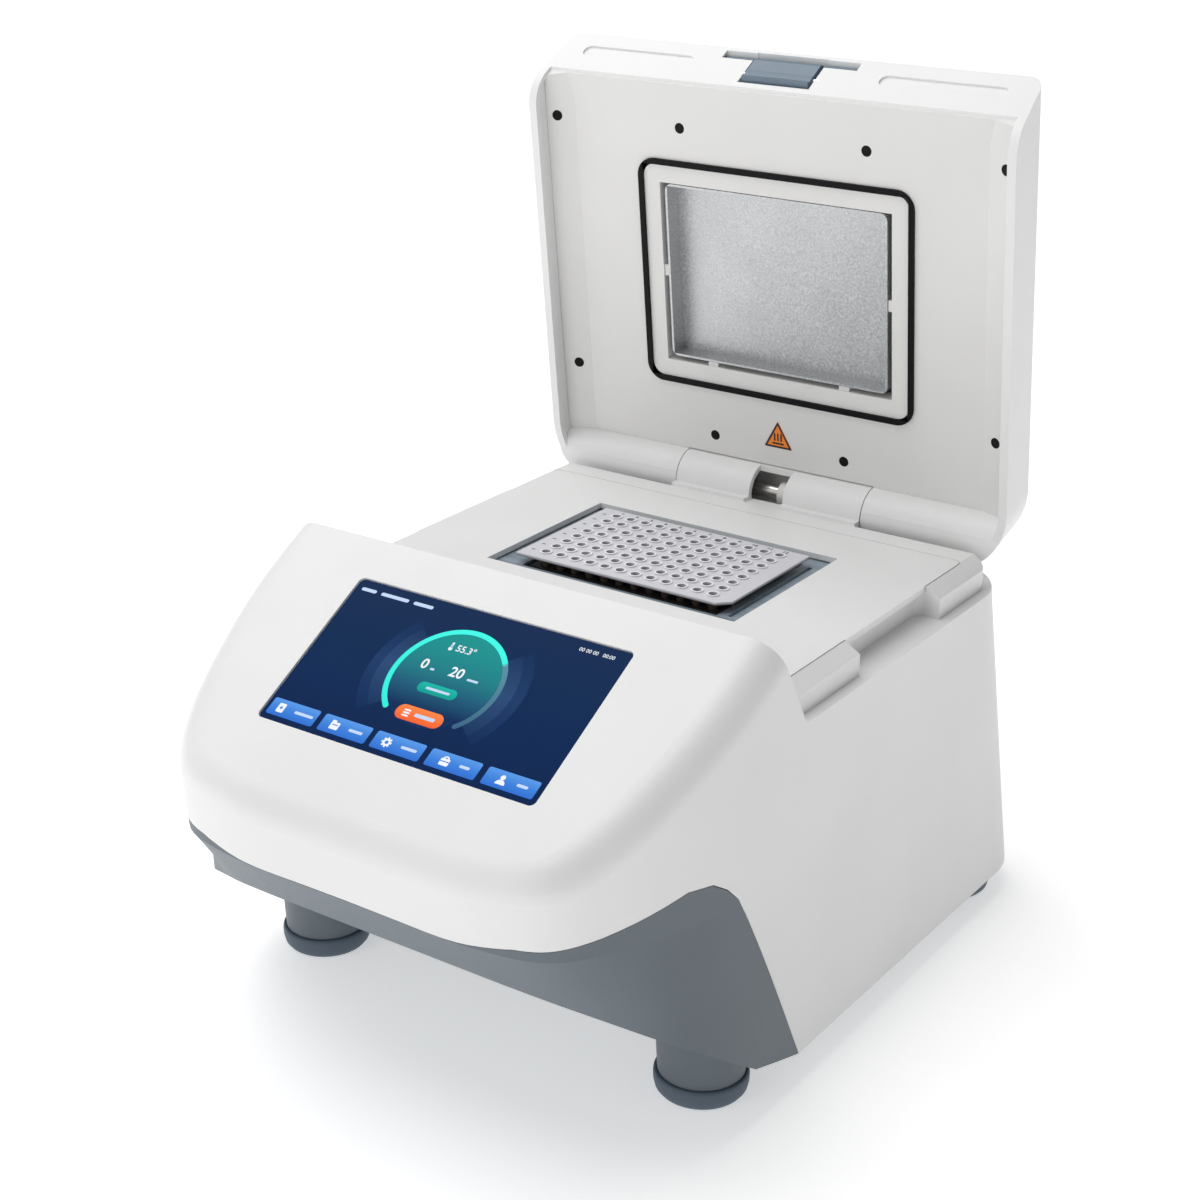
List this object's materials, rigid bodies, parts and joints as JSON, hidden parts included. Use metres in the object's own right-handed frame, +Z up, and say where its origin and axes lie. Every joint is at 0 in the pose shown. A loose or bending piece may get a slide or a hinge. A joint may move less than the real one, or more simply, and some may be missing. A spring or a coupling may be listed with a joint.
{
  "type": "thermal cycler",
  "caption": "Bench-top thermal cycler with a touch screen, a sample block with well plate and a hinged heated lid standing open.",
  "frame": {"origin": "middle of the bounding box's bottom face, on the surface the feet stand on", "axes": "+Z up, +Y to the back where the hinge is, +X to the user's right when facing the screen"},
  "size_m": [0.3002, 0.394, 0.4277],
  "materials": {
    "shell_white": "satin moulded ABS, fine spark texture",
    "liner_white": "satin moulded ABS",
    "base_gray": "satin moulded ABS, slate gray-blue",
    "trim_blue": "satin moulded ABS, light gray-blue",
    "foot_rubber": "matt moulded rubber",
    "seal_black": "matt extruded silicone",
    "plug_black": "matt moulded caps",
    "block_metal": "machined and bead blasted",
    "sink_metal": "extruded",
    "tray_metal": "bead blasted sheet",
    "shaft_steel": "ground",
    "sheet_steel": "plated sheet",
    "plate_clear": "translucent polypropylene",
    "ceramic": "fired ceramic",
    "fan_black": "moulded, glass filled",
    "inlet_black": "moulded thermoset",
    "board_green": "solder mask",
    "screen_glass": "cover glass over a lit display",
    "display_dark": "metal-backed display module",
    "heater_silicone": "silicone heating mat",
    "foam": "closed-cell insulation foam",
    "label_orange": "printed film"
  },
  "bodies": {
    "cabinet": {"upper_housing": "shell_white", "base_tray": "base_gray", "foot_front_left": "foot_rubber", "foot_front_right": "foot_rubber", "foot_rear_left": "foot_rubber", "foot_rear_right": "foot_rubber", "module_deck": "shell_white", "block_surround": "trim_blue", "sample_block": "block_metal", "sample_plate": "plate_clear", "peltier_modules": "ceramic", "heat_sink": "sink_metal", "fan_frame": "fan_black", "rear_grille": "fan_black", "power_inlet": "inlet_black", "switch_frame": "inlet_black", "data_port": "sheet_steel", "power_supply": "sheet_steel", "main_board": "board_green", "touch_glass": "screen_glass", "display_panel": "display_dark", "display_seal": "foam", "hinge_barrel": "shell_white", "hinge_bracket_left": "sheet_steel", "hinge_bracket_right": "sheet_steel", "hinge_spring_left": "shaft_steel", "hinge_spring_right": "shaft_steel", "latch_strike": "sheet_steel", "housing_screws": "shaft_steel"},
    "lid": {"lid_shell": "shell_white", "lid_liner": "liner_white", "screw_plugs": "plug_black", "lid_gasket": "seal_black", "window_frame": "liner_white", "guide_pins": "shaft_steel", "hot_label": "label_orange", "latch_pin": "shaft_steel", "hinge_shaft": "shaft_steel", "hinge_link": "liner_white"},
    "hot_plate": {"heated_plate": "tray_metal", "lid_heater": "heater_silicone", "lid_insulation": "foam"},
    "latch": {"latch_lever": "trim_blue"},
    "rocker": {"power_rocker": "inlet_black"},
    "rotor": {"fan_rotor": "fan_black"}
  },
  "joints": [
    {"name": "lid_hinge", "type": "hinge", "parent": "cabinet", "child": "lid", "pos_m": [0, 0.16933, 0.1939], "axis": [1, 0, 0], "range_deg": [0, 83.55]},
    {"name": "hot_plate_float", "type": "slide", "parent": "lid", "child": "hot_plate", "axis": [0, -0.9937, -0.1123], "range_m": [0, 0.004], "stiffness_N_per_m": 600},
    {"name": "latch_press", "type": "hinge", "parent": "lid", "child": "latch", "pos_m": [0, 0.15517, 0.41712], "axis": [1, 0, 0], "range_deg": [0, 10], "stiffness_Nm_per_rad": 0.05},
    {"name": "power_switch", "type": "hinge", "parent": "cabinet", "child": "rocker", "pos_m": [-0.098, 0.18523, 0.0705], "axis": [1, 0, 0], "range_deg": [-7, 7]},
    {"name": "fan_spin", "type": "hinge", "parent": "cabinet", "child": "rotor", "pos_m": [0, 0.16163, 0.092], "axis": [0, 1, 0], "continuous": true}
  ]
}
